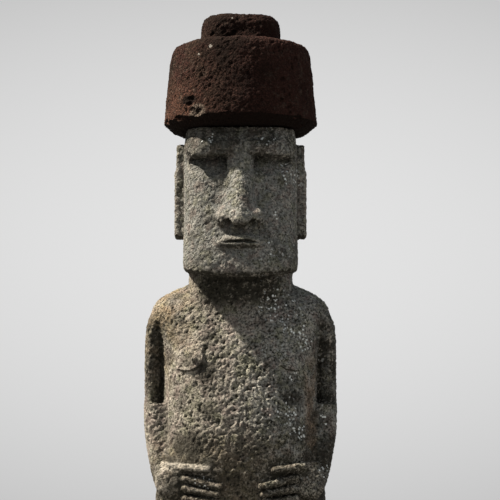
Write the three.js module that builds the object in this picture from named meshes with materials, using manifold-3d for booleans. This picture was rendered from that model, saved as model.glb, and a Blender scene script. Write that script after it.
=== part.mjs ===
// A moai: a standing figure carved from one block of volcanic tuff, with a topknot (pukao) of red
// scoria resting on its head and a low slab of rough stone under its foot.
// Millimetres, +Z up. The figure looks along -Y, and its own left hand is at +X. The origin is at the
// middle of the slab's underside.
import * as THREE from "three";
import { mergeVertices } from "three/addons/utils/BufferGeometryUtils.js";
import Module from "manifold-3d";

const wasm = await Module();
wasm.setup();

// Driving dimensions.
const slab = { width: 2160, depth: 1600, height: 260, chamfer: 28, corners: 40, squareness: 7 };
slab.wear = [
  // waves round the outline, their depth as a share of the radius, and where they start
  { waves: 3, share: 0.018, start: 1 },
  { waves: 7, share: 0.012, start: 2 },
];
const figure = { height: 4080, headHeight: 1525 };
const topknot = { drumHeight: 885, knobHeight: 285, depthShare: 0.95, centreY: -45 };
const seatGap = 0.3; // clearance between stones that rest on each other
const weld = 1e-3; // corners closer than this are one corner

// How many facets go round each form, and for rounded forms how many go from top to bottom.
const facets = {
  torso: 38,
  neck: 26,
  head: 36,
  limb: 16,
  nose: 16,
  socket: 20,
  earCorner: 4,
  finger: [2, 8],
  palm: [16, 10],
  breast: [18, 10],
  nipple: [10, 6],
  lips: [20, 8],
  small: [12, 8],
  drum: 44,
  knob: 32,
};

// The face is the moai type's mask, laid out on plain shares of the head's height: the forehead is
// a sixth, the nose a half, and the mouth and chin a third.
const face = {
  chin: figure.height - figure.headHeight,
  brow: figure.height - figure.headHeight / 6,
  noseBase: figure.height - (figure.headHeight * 2) / 3,
  mouth: figure.height - figure.headHeight * 0.77,
  eyes: figure.height - figure.headHeight * 0.24,
};

// Columns are stacked sections: height, half width, and how far the section reaches in Y, at the
// front and at the back. Heights are above the foot of the stone that the column belongs to.
const torso = {
  centreY: 150,
  frontSquareness: 2.8,
  backSquareness: 3.6,
  sections: [
    [0, 850, -470, 400],
    [300, 850, -530, 405],
    [480, 842, -560, 408],
    [700, 805, -588, 410],
    [900, 788, -598, 410],
    [1200, 776, -578, 412],
    [1500, 776, -540, 416],
    [1800, 790, -490, 422],
    [2050, 845, -435, 425],
    [2200, 886, -385, 425],
    [2320, 886, -325, 415],
    [2420, 810, -235, 392],
    [2505, 660, -120, 355],
    [2570, 500, -20, 300],
  ],
};
const neck = {
  centreY: 20,
  frontSquareness: 3.0,
  backSquareness: 2.8,
  sections: [
    [2150, 480, -350, 290],
    [2350, 505, -385, 310],
    [2480, 522, -395, 322],
    [2580, 522, -390, 325],
    [2760, 515, -360, 325],
  ],
};
const head = {
  centreY: -60,
  frontSquareness: 4.2,
  backSquareness: 4.2,
  jawRise: 85, // how much higher the jaw's corners are than the chin
  napeRise: 130, // how much higher the block's lower edge is at the back
  sections: [
    [face.chin, 552, -642, 366],
    [face.chin + 30, 568, -658, 378],
    [face.chin + 110, 574, -664, 382],
    [face.chin + 240, 573, -648, 388],
    [face.mouth, 571, -622, 390],
    [face.noseBase, 568, -588, 390],
    [face.noseBase + 240, 568, -548, 392],
    [face.brow - 250, 570, -515, 392],
    [face.brow - 90, 570, -500, 392],
    [face.brow - 30, 570, -508, 392],
    [face.brow + 10, 570, -560, 392],
    [face.brow + 75, 568, -562, 390],
    [face.brow + 150, 560, -515, 385],
    [figure.height, 545, -480, 375],
  ],
};

// Limbs are columns whose middle wanders: height, middle X, middle Y, half width, half depth.
// A limb's lean sets its inner edge back from its outer one, as a share of the way across.
const elbow = 1345;
const upperArm = {
  squareness: 2.3,
  lean: 0.45,
  sections: [
    [elbow - 60, 844, 110, 118, 175],
    [elbow + 250, 846, 110, 118, 185],
    [1850, 844, 95, 118, 200],
    [2020, 838, 75, 120, 215],
    [2160, 812, 65, 128, 215],
    [2300, 745, 80, 130, 180],
  ],
};
const forearm = {
  squareness: 2.8,
  lean: 0,
  sections: [
    [415, 700, -220, 62, 105],
    [485, 722, -215, 94, 160],
    [620, 752, -160, 118, 205],
    [840, 780, -75, 140, 215],
    [1100, 804, -20, 154, 210],
    [elbow, 808, -5, 154, 205],
  ],
};
const hand = {
  fingers: 4,
  knuckle: { x: 540, z: 600, drop: 98, radius: 43, lift: 15 },
  tip: { x: 200, z: 516, drop: 75, radius: 36, lift: 16, shorter: 20 },
  thumbRoot: { x: 735, z: 735, radius: 46, lift: 150 },
  thumbTip: { x: 330, z: 690, radius: 37, lift: 26 },
  back: { x: 640, z: 560, lift: 50, halfWidth: 187, halfDepth: 92, halfHeight: 185 },
};
// A breast's ridge is near its lower inner edge, so its reaches from there differ on each side.
const breast = { x: 450, z: 1740, sunk: 50, outer: 250, inner: 100, halfDepth: 95, above: 270, below: 105 };
const nipple = { x: 450, z: 1757, lift: 22, halfWidth: 36, halfDepth: 36, halfHeight: 36 };
const spine = { fromZ: 700, toZ: 2250, radius: 60, proud: 33 };

const nose = {
  squareness: 1.6,
  lean: 0,
  // height, middle X, middle Y, half width, half depth
  sections: [
    [face.noseBase, 0, -550, 190, 195],
    [face.noseBase + 50, 0, -550, 205, 215],
    [face.noseBase + 160, 0, -545, 190, 190],
    [face.noseBase + 360, 0, -520, 160, 145],
    [face.noseBase + 560, 0, -490, 135, 105],
    [face.brow - 10, 0, -480, 140, 85],
  ],
  wing: { x: 148, y: -575, rise: 92, halfWidth: 100, halfDepth: 125, halfHeight: 98 },
  nostril: { x: 112, y: -655, halfWidth: 58, halfDepth: 70, halfHeight: 74 },
};
const eyeSocket = { x: 298, halfWidth: 200, halfHeight: 118, floorY: -415, slope: 0.5, openY: -700 };
const browBar = { fromX: 70, toX: 440, y: -515, rise: 12, drop: 28, radius: 42 };
const lips = { halfWidth: 270, halfDepth: 112, halfHeight: 80, droop: 30, y: -590 };
const lipSlit = { halfWidth: 285, halfDepth: 75, halfHeight: 12, y: -715 };

// An ear is two plates on the side of the head, a lobe and the helix that overlaps its top, each
// with a channel inside a raised band.
const ear = {
  fromX: 540,
  middleY: 20,
  rim: 38, // how far outside the plate the cut for a channel begins
  hollow: 26, // depth of a channel
  lobe: { toX: 666, halfDepth: 123, bottom: face.noseBase - 50, top: face.brow - 130, corner: 45 },
  helix: { toX: 648, halfDepth: 135, bottom: face.brow - 190, top: face.brow + 140, corner: 60 },
  lobeChannel: { halfDepth: 53, bottom: face.noseBase + 40, top: face.brow - 160, corner: 40 },
  helixChannel: { halfDepth: 97, bottom: face.brow - 85, top: face.brow + 102, corner: 50 },
};

// The drum's lower edge is bevelled: height and radius.
const drum = {
  squareness: 2,
  sections: [
    [0, 672],
    [85, 775],
    [400, 748],
    [720, 712],
    [815, 692],
    [865, 655],
    [topknot.drumHeight, 605],
  ],
};
const knob = {
  squareness: 3.4,
  sections: [
    [topknot.drumHeight - 20, 406],
    [topknot.drumHeight + 190, 398],
    [topknot.drumHeight + 240, 380],
    [topknot.drumHeight + topknot.knobHeight, 335],
  ],
};
// Old breaks in the drum's lower rim: degrees round from the front, height, the radius of the bite
// seen from above, its depth and its half height.
const rimBreaks = [
  [-35, 130, 150, 62, 100],
  [-52, 75, 130, 34, 40],
  [-76, 85, 120, 30, 50],
  [-104, 80, 120, 30, 40],
  [16, 75, 120, 20, 22],
  [47, 75, 120, 26, 36],
  [78, 80, 110, 24, 34],
  [150, 80, 160, 36, 50],
  [215, 80, 120, 26, 36],
];

/** A three.js geometry as a manifold-3d solid. */
function solidOf(geometry) {
  const bare = geometry.index ? geometry.toNonIndexed() : geometry.clone();
  bare.deleteAttribute("normal");
  bare.deleteAttribute("uv");
  const merged = mergeVertices(bare, weld);
  return new wasm.Manifold(
    new wasm.Mesh({
      numProp: 3,
      vertProperties: merged.attributes.position.array,
      triVerts: new Uint32Array(merged.index.array),
    }),
  );
}

/** Moves every vertex of a geometry by a function of its position. */
function reshape(geometry, move) {
  const position = geometry.attributes.position;
  const point = new THREE.Vector3();
  for (let i = 0; i < position.count; i++) {
    move(point.fromBufferAttribute(position, i));
    position.setXYZ(i, point.x, point.y, point.z);
  }
  return geometry;
}

/** A smooth value between the rows of a table, by height (the first number of each row). */
function tableRow(rows, height) {
  const last = rows.length - 1;
  const i = Math.min(last - 1, Math.max(0, rows.findLastIndex((row) => row[0] <= height)));
  const [before, from, to, after] = [
    rows[Math.max(0, i - 1)],
    rows[i],
    rows[i + 1],
    rows[Math.min(last, i + 2)],
  ];
  const span = to[0] - from[0];
  const t = THREE.MathUtils.clamp((height - from[0]) / span, 0, 1);
  return from.map((value, column) => {
    const startSlope = ((to[column] - before[column]) / (to[0] - before[0])) * span;
    const endSlope = ((after[column] - value) / (after[0] - from[0])) * span;
    return (
      value * (2 * t ** 3 - 3 * t ** 2 + 1) +
      startSlope * (t ** 3 - 2 * t ** 2 + t) +
      to[column] * (3 * t ** 2 - 2 * t ** 3) +
      endSlope * (t ** 3 - t ** 2)
    );
  });
}

/** Signed power, which turns a circle's sine or cosine into a squarer outline's. */
function squared(value, squareness) {
  return Math.sign(value) * Math.abs(value) ** (2 / squareness);
}

/** A closed column through the heights of a table, placed by place(direction cosines, row). */
function column(rows, around, between, place) {
  const heights = rows.flatMap((row, i) =>
    i === rows.length - 1
      ? [row[0]]
      : Array.from({ length: between }, (_, k) => row[0] + ((rows[i + 1][0] - row[0]) * k) / between),
  );
  const rings = heights.length - 1;
  const geometry = new THREE.CylinderGeometry(1, 1, 1, around, rings).rotateX(Math.PI / 2);
  return solidOf(
    reshape(geometry, (point) => {
      const height = heights[Math.round((point.z + 0.5) * rings)];
      const placed = place(point.x, point.y, tableRow(rows, height));
      point.set(placed[0], placed[1], height);
    }),
  );
}

/** A column of the body: its middle stays put, and its front and back reach differ. */
function bodyColumn(form, around) {
  return column(form.sections, around, 1, (cx, cy, [, halfWidth, front, back]) => {
    const squareness = cy < 0 ? form.frontSquareness : form.backSquareness;
    const reach = cy < 0 ? form.centreY - front : back - form.centreY;
    return [halfWidth * squared(cx, squareness), form.centreY + reach * squared(cy, squareness)];
  });
}

/** A column that wanders, as a limb or the nose does. */
function limbColumn(form, side, around, between) {
  return column(form.sections, around, between, (cx, cy, [, x, y, halfWidth, halfDepth]) => {
    const across = halfWidth * squared(cx, form.squareness);
    return [side * x + across, y + halfDepth * squared(cy, form.squareness) - form.lean * side * across];
  });
}

/** An ellipsoid about a point, with the given half sizes. */
function boss(x, y, z, { halfWidth, halfDepth, halfHeight }, detail) {
  const geometry = new THREE.SphereGeometry(1, ...detail).rotateX(Math.PI / 2);
  return solidOf(geometry.scale(halfWidth, halfDepth, halfHeight).translate(x, y, z));
}

/** A round-ended bar that tapers from one point to another, as a finger does. */
function finger(from, to, fromRadius, toRadius) {
  const length = from.distanceTo(to);
  const geometry = new THREE.CapsuleGeometry(1, length, ...facets.finger);
  reshape(geometry, (point) => {
    const middle = THREE.MathUtils.clamp(point.y, -length / 2, length / 2);
    const radius = THREE.MathUtils.lerp(fromRadius, toRadius, middle / length + 0.5);
    point.set(point.x * radius, middle + (point.y - middle) * radius, point.z * radius);
  });
  const along = to.clone().sub(from).normalize();
  geometry.applyQuaternion(new THREE.Quaternion().setFromUnitVectors(new THREE.Vector3(0, 1, 0), along));
  const centre = from.clone().add(to).multiplyScalar(0.5);
  return solidOf(geometry.translate(centre.x, centre.y, centre.z));
}

/** Y of the torso's front surface at a place seen from the front. */
function torsoFront(x, z) {
  const [, halfWidth, front] = tableRow(torso.sections, z);
  const share = Math.min(1, Math.abs(x) / halfWidth) ** torso.frontSquareness;
  return torso.centreY - (torso.centreY - front) * (1 - share) ** (1 / torso.frontSquareness);
}

const union = (solids) => solids.reduce((joined, next) => joined.add(next));

/** The head block, whose lower edge rises from the chin to the jaw's corners and to the nape. */
function headBlock() {
  const [, widest, front, back] = head.sections[2];
  return bodyColumn(head, facets.head).warp((point) => {
    const fade = Math.max(0, (face.noseBase - point[2]) / (face.noseBase - face.chin));
    const aside = (point[0] / widest) ** 2;
    const behind = (point[1] - front) / (back - front);
    point[2] += (head.jawRise * aside + head.napeRise * behind) * fade;
  });
}

/** One eye socket: an oval hollow whose floor lies deeper under the brow than over the cheek. */
function socket(side) {
  const { x, halfWidth, halfHeight, floorY, slope, openY } = eyeSocket;
  const oval = new THREE.CylinderGeometry(1, 1, 1, facets.socket).scale(halfWidth, 1, halfHeight);
  reshape(oval, (point) => {
    point.y = point.y > 0 ? floorY + slope * point.z : openY;
  });
  return solidOf(oval.translate(side * x, 0, face.eyes));
}

/** One half of the brow's ridge. */
function browRidge(side) {
  const { fromX, toX, y, rise, drop, radius } = browBar;
  const from = new THREE.Vector3(side * fromX, y, face.brow);
  const to = new THREE.Vector3(side * toX, y + rise, face.brow - drop);
  return finger(from, to, radius, radius);
}

/** The nose with its wings, and the nostrils to be cut from it. */
function noseForm() {
  const { wing, nostril } = nose;
  const sides = [-1, 1];
  const wingZ = face.noseBase + wing.rise;
  const wings = sides.map((side) => boss(side * wing.x, wing.y, wingZ, wing, facets.small));
  const nostrils = sides.map((side) =>
    boss(side * nostril.x, nostril.y, face.noseBase, nostril, facets.small),
  );
  const form = limbColumn(nose, 1, facets.nose, 2).add(union(wings));
  return { form, nostrils: union(nostrils) };
}

/** The closed lips, or the slit between them: a long boss whose ends droop. */
function mouthForm({ halfWidth, halfDepth, halfHeight, y }) {
  const geometry = new THREE.SphereGeometry(1, ...facets.lips).rotateX(Math.PI / 2);
  geometry.scale(halfWidth, halfDepth, halfHeight);
  reshape(geometry, (point) => {
    point.z -= lips.droop * (point.x / halfWidth) ** 2;
  });
  return solidOf(geometry.translate(0, y, face.mouth));
}

/** A rounded upright outline in the YZ plane, extruded along X on the given side. */
function sidePlate(side, fromX, { toX, halfDepth, bottom, top, corner }) {
  const outline = new THREE.Shape();
  outline.moveTo(-halfDepth + corner, bottom);
  outline.lineTo(halfDepth - corner, bottom);
  outline.quadraticCurveTo(halfDepth, bottom, halfDepth, bottom + corner);
  outline.lineTo(halfDepth, top - corner);
  outline.quadraticCurveTo(halfDepth, top, halfDepth - corner, top);
  outline.lineTo(-halfDepth + corner, top);
  outline.quadraticCurveTo(-halfDepth, top, -halfDepth, top - corner);
  outline.lineTo(-halfDepth, bottom + corner);
  outline.quadraticCurveTo(-halfDepth, bottom, -halfDepth + corner, bottom);
  const plate = new THREE.ExtrudeGeometry(outline, {
    depth: toX - fromX,
    bevelEnabled: false,
    curveSegments: facets.earCorner,
  });
  // The outline's own X and Y become the frame's Y and Z, and its depth the frame's X.
  const alongY = new THREE.Vector3(0, 1, 0);
  const alongZ = new THREE.Vector3(0, 0, 1);
  const alongX = new THREE.Vector3(1, 0, 0);
  plate.applyMatrix4(new THREE.Matrix4().makeBasis(alongY, alongZ, alongX));
  return solidOf(plate.translate(side > 0 ? fromX : -toX, ear.middleY, 0));
}

/** The channel in one plate of an ear, cut in from outside it. */
function earChannel(side, plateX, outline) {
  return sidePlate(side, plateX - ear.hollow, { ...outline, toX: plateX + ear.rim });
}

/** A long ear: the lobe, and the narrower helix over it. */
function earForm(side) {
  const { fromX, lobe, helix, lobeChannel, helixChannel } = ear;
  return sidePlate(side, fromX, lobe)
    .add(sidePlate(side, fromX, helix))
    .subtract(earChannel(side, lobe.toX, lobeChannel))
    .subtract(earChannel(side, helix.toX, helixChannel));
}

/** One hand: four long fingers and a thumb, laid flat on the belly. */
function handForm(side) {
  const { knuckle, tip, thumbRoot, thumbTip, back } = hand;
  const onBelly = (x, z, lift) => new THREE.Vector3(side * x, torsoFront(x, z) - lift, z);
  const fingers = Array.from({ length: hand.fingers }, (_, i) => {
    const knuckleZ = knuckle.z - knuckle.drop * i;
    const tipZ = tip.z - tip.drop * i;
    return finger(
      onBelly(knuckle.x, knuckleZ, knuckle.lift),
      onBelly(tip.x + tip.shorter * i, tipZ, tip.lift),
      knuckle.radius,
      tip.radius,
    );
  });
  const thumb = finger(
    onBelly(thumbRoot.x, thumbRoot.z, thumbRoot.lift),
    onBelly(thumbTip.x, thumbTip.z, thumbTip.lift),
    thumbRoot.radius,
    thumbTip.radius,
  );
  const palmY = torsoFront(back.x, back.z) - back.lift;
  const palm = boss(side * back.x, palmY, back.z, back, facets.palm);
  return union([palm, thumb, ...fingers]);
}

/** One breast: it swells slowly from the collar and the arm to a short lower and inner edge. */
function breastForm(side) {
  const geometry = new THREE.SphereGeometry(1, ...facets.breast).rotateX(Math.PI / 2);
  reshape(geometry, (point) => {
    point.x *= point.x * side > 0 ? breast.outer : breast.inner;
    point.y *= breast.halfDepth;
    point.z *= point.z > 0 ? breast.above : breast.below;
  });
  geometry.translate(side * breast.x, torsoFront(breast.x, breast.z) + breast.sunk, breast.z);
  const tipY = torsoFront(nipple.x, nipple.z) - nipple.lift;
  return solidOf(geometry).add(boss(side * nipple.x, tipY, nipple.z, nipple, facets.nipple));
}

/** The long shallow groove down the middle of the back. */
function spineGroove() {
  const [, , , back] = tableRow(torso.sections, spine.fromZ);
  const surface = new THREE.Vector3(0, back + spine.proud, spine.fromZ);
  return finger(surface, surface.clone().setZ(spine.toZ), spine.radius, spine.radius);
}

/** The whole figure, cut from one block. */
function figureSolid() {
  const sides = [-1, 1];
  const { form: noseSolid, nostrils } = noseForm();
  const body = union([
    bodyColumn(torso, facets.torso),
    bodyColumn(neck, facets.neck),
    headBlock().subtract(union(sides.map(socket))),
    noseSolid,
    mouthForm(lips),
    ...sides.flatMap((side) => [
      browRidge(side),
      limbColumn(upperArm, side, facets.limb, 1),
      limbColumn(forearm, side, facets.limb, 1),
      handForm(side),
      breastForm(side),
      earForm(side),
    ]),
  ]);
  return body.subtract(nostrils).subtract(mouthForm(lipSlit)).subtract(spineGroove());
}

/** A column of the topknot, a little less deep than it is wide. */
function topknotColumn({ sections, squareness }, around) {
  return column(sections, around, 1, (cx, cy, [, radius]) => [
    radius * squared(cx, squareness),
    topknot.centreY + radius * topknot.depthShare * squared(cy, squareness),
  ]);
}

/** The topknot: a drum with a knob on top and the bites out of its lower rim. */
function topknotSolid() {
  const rim = drum.sections[1][1];
  const bites = rimBreaks.map(([degrees, z, radius, depth, halfHeight]) => {
    const turn = THREE.MathUtils.degToRad(degrees);
    const out = rim + radius - depth;
    const x = out * Math.sin(turn);
    const y = topknot.centreY - out * topknot.depthShare * Math.cos(turn);
    return boss(x, y, z, { halfWidth: radius, halfDepth: radius, halfHeight }, facets.small);
  });
  return topknotColumn(drum, facets.drum).add(topknotColumn(knob, facets.knob)).subtract(union(bites));
}

/** The slab: a worn four-sided outline with knocked-off edges. */
function slabSolid() {
  const outline = Array.from({ length: slab.corners }, (_, i) => {
    const angle = (2 * Math.PI * i) / slab.corners;
    const worn = slab.wear.reduce(
      (radius, { waves, share, start }) => radius + share * Math.sin(waves * angle + start),
      1,
    );
    return new THREE.Vector2(
      worn * squared(Math.cos(angle), slab.squareness) * slab.width,
      worn * squared(Math.sin(angle), slab.squareness) * slab.depth,
    );
  });
  const geometry = new THREE.ExtrudeGeometry(new THREE.Shape(outline), {
    depth: slab.height - 2 * slab.chamfer,
    bevelThickness: slab.chamfer,
    bevelSize: slab.chamfer,
    bevelSegments: 1,
  });
  // The wear makes the outline uneven, so it is fitted to the slab's stated size and middle.
  geometry.computeBoundingBox();
  const size = geometry.boundingBox.getSize(new THREE.Vector3());
  geometry.center().scale(slab.width / size.x, slab.depth / size.y, slab.height / size.z);
  return solidOf(geometry.translate(0, 0, slab.height / 2));
}

/** A named mesh of one stone. */
function stoneMesh(name, solid, colour, roughness) {
  const made = solid.getMesh();
  const geometry = new THREE.BufferGeometry();
  geometry.setAttribute("position", new THREE.BufferAttribute(new Float32Array(made.vertProperties), 3));
  geometry.setIndex(new THREE.BufferAttribute(new Uint32Array(made.triVerts), 1));
  geometry.computeVertexNormals();
  const mesh = new THREE.Mesh(
    geometry,
    new THREE.MeshStandardMaterial({ color: colour, roughness, metalness: 0 }),
  );
  mesh.name = name;
  return mesh;
}

const moai = new THREE.Group();
const base = stoneMesh("base_slab", slabSolid(), 0x5c5751, 0.95);
const statue = stoneMesh("moai_figure", figureSolid(), 0x6f6a60, 0.95);
const hat = stoneMesh("pukao_topknot", topknotSolid(), 0x50302a, 0.97);
statue.position.z = slab.height + seatGap;
hat.position.z = statue.position.z + figure.height + seatGap;
moai.add(base, statue, hat);

export default moai;
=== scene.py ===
import math

import bpy
import numpy as np
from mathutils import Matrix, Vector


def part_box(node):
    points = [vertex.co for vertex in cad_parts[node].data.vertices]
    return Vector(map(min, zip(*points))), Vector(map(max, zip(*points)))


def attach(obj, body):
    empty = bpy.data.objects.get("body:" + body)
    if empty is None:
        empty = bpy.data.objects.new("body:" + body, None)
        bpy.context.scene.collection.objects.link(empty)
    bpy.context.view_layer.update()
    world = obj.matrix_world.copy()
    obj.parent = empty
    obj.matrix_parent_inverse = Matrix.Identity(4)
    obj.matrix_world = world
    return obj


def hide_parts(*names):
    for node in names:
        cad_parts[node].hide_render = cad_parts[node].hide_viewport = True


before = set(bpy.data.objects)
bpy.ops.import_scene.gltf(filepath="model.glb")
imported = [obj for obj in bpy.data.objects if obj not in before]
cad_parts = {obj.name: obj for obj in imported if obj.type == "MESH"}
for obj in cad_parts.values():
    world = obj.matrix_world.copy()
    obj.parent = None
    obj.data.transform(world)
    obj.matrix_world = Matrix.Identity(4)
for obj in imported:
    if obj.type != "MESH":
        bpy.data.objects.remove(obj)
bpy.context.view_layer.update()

import openvdb

# The moai: a figure of pitted tuff, a topknot of red scoria that rests on its head, and the rough slab
# under its foot. Metres, +Z up, the figure looks along -Y. Heights inside a piece are above its own foot.

frontView = dict(
    eye=(0.095, -23.0, 0.36),
    aimRise=2.80,            # how far the line of sight climbs by the time it is over the origin
    lens=165.6,
    sensor=36.0,
    farthest=200.0,
)
lighting = dict(
    keyAzimuth=-85.0,        # degrees round from the front, to the figure's right hand
    keyElevation=52.0,
    keyStrength=11.0,
    keyAngle=2.6,            # degrees across, which sets how soft the shadows' edges are
    keyColour=(1.0, 0.93, 0.82),
    skyColour=(0.86, 0.93, 1.0),
    skyStrength=0.42,
    skyBelow=0.35,           # how much of it comes from level with the ground and under
    backdrop=0.765,
    backdropFade=(3.4, 13.2),    # how fast the backdrop darkens sideways, and upwards or downwards
    backdropLeast=0.45,
    floorShades=(0.16, 0.18),
    floorSize=60.0,
)


# A form is a function of X, Y and Z that gives the distance to its surface, less than zero inside, with
# the low and high corners of the box that it fills.

def lengthOf(*parts):
    return np.sqrt(sum(part * part for part in parts))


# a table's columns at the given heights, smoothly between its rows; its first column is the height
def rowsAt(rows, heights):
    rows = np.array(rows, dtype=np.float32)
    heights = np.asarray(heights, dtype=np.float32)
    last = len(rows) - 1
    i = np.clip(np.searchsorted(rows[:, 0], heights, side="right") - 1, 0, last - 1)
    before, start = rows[np.maximum(i - 1, 0)], rows[i]
    end, after = rows[i + 1], rows[np.minimum(i + 2, last)]
    span = end[..., :1] - start[..., :1]
    t = np.clip((heights[..., None] - start[..., :1]) / span, 0, 1)
    startSlope = (end - before) / (end[..., :1] - before[..., :1]) * span
    endSlope = (after - start) / (after[..., :1] - start[..., :1]) * span
    values = (
        start * (2 * t ** 3 - 3 * t ** 2 + 1)
        + startSlope * (t ** 3 - 2 * t ** 2 + t)
        + end * (3 * t ** 2 - 2 * t ** 3)
        + endSlope * (t ** 3 - t ** 2)
    )
    return np.moveaxis(values[..., 1:], -1, 0)


# how far a place is outside a squared-off oval, along the line from its middle
def ovalDistance(x, y, halfWidth, halfDepth, squareness):
    x = np.abs(x) + 1e-4     # never quite on the middle line, where the direction is lost
    y = np.abs(y)
    share = ((x / halfWidth) ** squareness + (y / halfDepth) ** squareness) ** (1 / squareness)
    return lengthOf(x, y) * (1 - 1 / share)


# a column of the body: its middle stays put, and its front and its back reach differ
def bodyColumn(rows, centreY, frontSquareness, backSquareness, rise=None):
    widest = max(row[1] for row in rows)
    low = (-widest, min(row[2] for row in rows), rows[0][0])
    high = (widest, max(row[3] for row in rows), rows[-1][0] + (0.2 if rise else 0))

    def distance(x, y, z):
        level = z - rise(x, y, z) if rise else z
        halfWidth, front, back = rowsAt(rows, level)
        ahead = ovalDistance(x, y - centreY, halfWidth, centreY - front, frontSquareness)
        behind = ovalDistance(x, y - centreY, halfWidth, back - centreY, backSquareness)
        side = np.where(y < centreY, ahead, behind)
        return np.maximum(side, np.maximum(rows[0][0] - level, level - rows[-1][0]))

    return distance, low, high


# a column that wanders, as a limb or the nose does; lean sets its outer edge forward of its inner one
def limbColumn(rows, squareness, side=1, lean=0.0):
    reach = max(abs(row[1]) + row[3] for row in rows)
    inner = min(abs(row[1]) - row[3] for row in rows)
    low = (min(side * inner, side * reach), min(row[2] - row[4] for row in rows) - 0.1, rows[0][0])
    high = (max(side * inner, side * reach), max(row[2] + row[4] for row in rows) + 0.1, rows[-1][0])

    def distance(x, y, z):
        centreX, centreY, halfWidth, halfDepth = rowsAt(rows, z)
        outward = side * x - centreX
        around = ovalDistance(outward, y - centreY + lean * outward, halfWidth, halfDepth, squareness)
        return np.maximum(around, np.maximum(rows[0][0] - z, z - rows[-1][0]))

    return distance, low, high


# an egg, whose two ends may droop
def egg(centre, radii, droop=0.0):
    low = [c - r for c, r in zip(centre, radii)]
    high = [c + r for c, r in zip(centre, radii)]
    low[2] -= droop

    def distance(x, y, z):
        sag = droop * ((x - centre[0]) / radii[0]) ** 2
        place = (x - centre[0], y - centre[1], z - centre[2] + sag)
        share = lengthOf(*(p / r for p, r in zip(place, radii))) + 1e-5
        steepness = lengthOf(*(p / (r * r) for p, r in zip(place, radii))) + 1e-5
        return share * (share - 1) / steepness

    return distance, low, high


# an oval recess that goes in from the front to a flat floor, whose top lies deeper than its bottom
def recess(x, z, halfWidth, halfHeight, floorY, slope):
    low = (x - halfWidth, -1.0, z - halfHeight)
    high = (x + halfWidth, floorY + halfHeight * slope, z + halfHeight)

    def distance(px, py, pz):
        around = ovalDistance(px - x, pz - z, halfWidth, halfHeight, 2.0)
        return np.maximum(around, py - floorY - (pz - z) * slope)

    return distance, low, high


# a round-ended bar that tapers from one end to the other
def bar(start, end, startRadius, endRadius):
    start, end = np.array(start), np.array(end)
    along = end - start
    fattest = max(startRadius, endRadius)

    def distance(x, y, z):
        share = ((x - start[0]) * along[0] + (y - start[1]) * along[1] + (z - start[2]) * along[2])
        share = np.clip(share / (along @ along), 0, 1)
        gap = lengthOf(*(p - (s + a * share) for p, s, a in zip((x, y, z), start, along)))
        return gap - (startRadius + (endRadius - startRadius) * share)

    return distance, np.minimum(start, end) - fattest, np.maximum(start, end) + fattest


# a plate flat to the side of the head, with rounded corners and edges
def plate(fromX, toX, centreY, halfDepth, bottom, top, corner, edge=0.0):
    low = (min(fromX, toX), centreY - halfDepth, bottom)
    high = (max(fromX, toX), centreY + halfDepth, top)
    middle = [(a + b) / 2 for a, b in zip(low, high)]
    half = [(b - a) / 2 for a, b in zip(low, high)]

    def distance(x, y, z):
        acrossY = np.abs(y - middle[1]) - half[1] + corner
        acrossZ = np.abs(z - middle[2]) - half[2] + corner
        outline = lengthOf(np.maximum(acrossY, 0), np.maximum(acrossZ, 0)) - corner
        outline = outline + np.minimum(np.maximum(acrossY, acrossZ), 0)
        acrossX = np.abs(x - middle[0]) - half[0]
        rounded = lengthOf(np.maximum(outline + edge, 0), np.maximum(acrossX + edge, 0)) - edge
        return rounded + np.minimum(np.maximum(outline, acrossX) + edge, 0)

    return distance, low, high


# seeded noise from -1 to 1, for edges that are broken or rough-hewn; the scale is in lumps to a metre
def grit(x, y, z, scale, seed):
    size = 16
    lattice = np.random.default_rng(seed).uniform(-1, 1, (size, size, size)).astype(np.float32)
    cells, shares = [], []
    for place in (x, y, z):
        cell = np.floor(place * scale)
        cells.append(cell.astype(int))
        shares.append(smooth(place * scale - cell, 0, 1))
    total = 0
    for corner in np.ndindex(2, 2, 2):
        weight = 1
        for share, far in zip(shares, corner):
            weight = weight * (share if far else 1 - share)
        total = total + weight * lattice[tuple((cell + far) % size for cell, far in zip(cells, corner))]
    return total


farAway = 0.5                    # what a stone's grid holds wherever no form comes near
hollowReaches = (0.03, 0.09)     # how far round a place its hollowness is felt


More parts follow.
